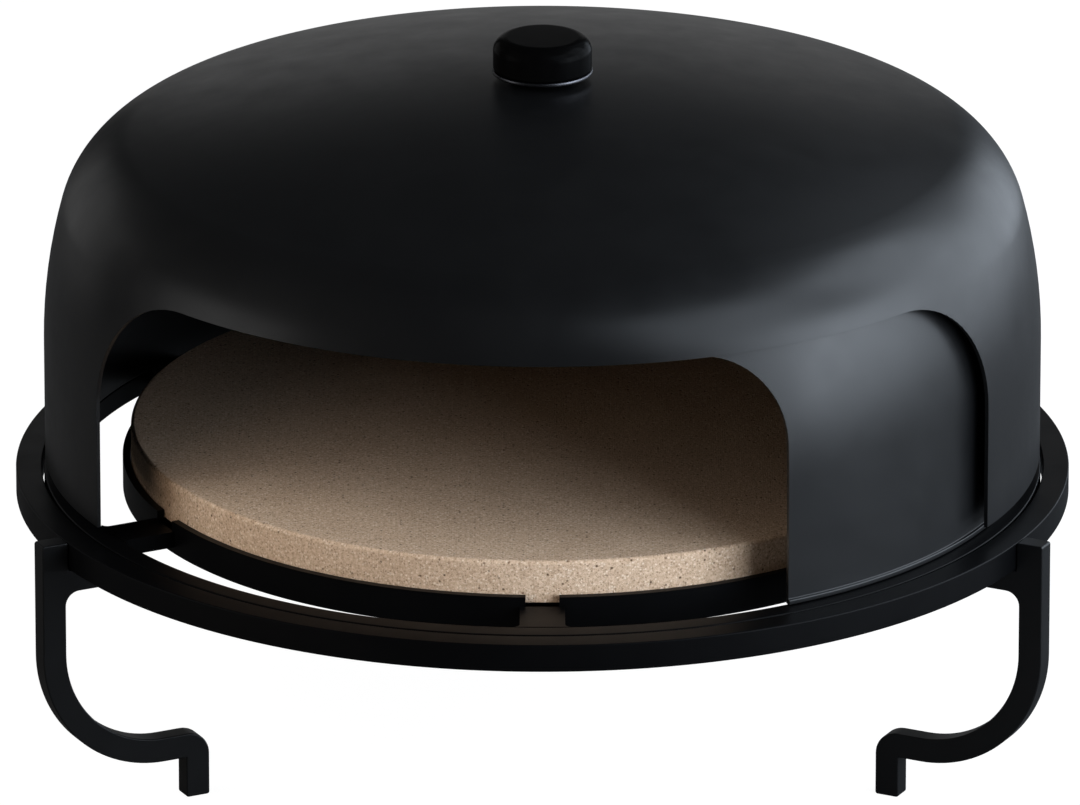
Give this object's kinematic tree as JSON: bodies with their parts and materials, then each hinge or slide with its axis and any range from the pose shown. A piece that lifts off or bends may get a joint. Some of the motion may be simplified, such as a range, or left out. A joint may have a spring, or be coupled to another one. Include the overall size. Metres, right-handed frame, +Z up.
{
  "type": "pizza oven",
  "caption": "Round pizza oven for a fire plate: a turning domed hood and inner door over a baking stone, on ring bars with spokes and hooked legs.",
  "frame": {"origin": "centre of the baking stone's top face", "axes": "+Z up, the mouth towards -Y, +X to the right seen from the mouth"},
  "size_m": [0.5108, 0.5248, 0.3573],
  "materials": {
    "black_coat": "satin black powder coat on steel",
    "stone": "matt, porous, speckled",
    "black_plastic": "satin black moulding",
    "steel": "plain steel"
  },
  "bodies": {
    "base": {"outer_ring": "black_coat", "inner_ring": "black_coat", "stone_hoop": "black_coat", "spoke_front": "black_coat", "spoke_front_right": "black_coat", "spoke_back_right": "black_coat", "spoke_back": "black_coat", "spoke_back_left": "black_coat", "spoke_front_left": "black_coat", "leg_front_left": "black_coat", "leg_front_right": "black_coat", "leg_back": "black_coat", "baking_stone": "stone"},
    "door": {"door_drum": "black_coat"},
    "hood": {"outer_hood": "black_coat", "knob": "black_plastic", "knob_plate": "steel", "knob_washer": "black_plastic", "pivot_bolt": "steel", "pivot_bush": "steel", "pivot_washer": "steel"}
  },
  "joints": [
    {"name": "door_turn", "type": "hinge", "parent": "base", "child": "door", "pos_m": [0, 0, -0.0213], "axis": [0, 0, 1], "continuous": true},
    {"name": "hood_turn", "type": "hinge", "parent": "door", "child": "hood", "pos_m": [0, 0, -0.0213], "axis": [0, 0, 1], "continuous": true}
  ]
}
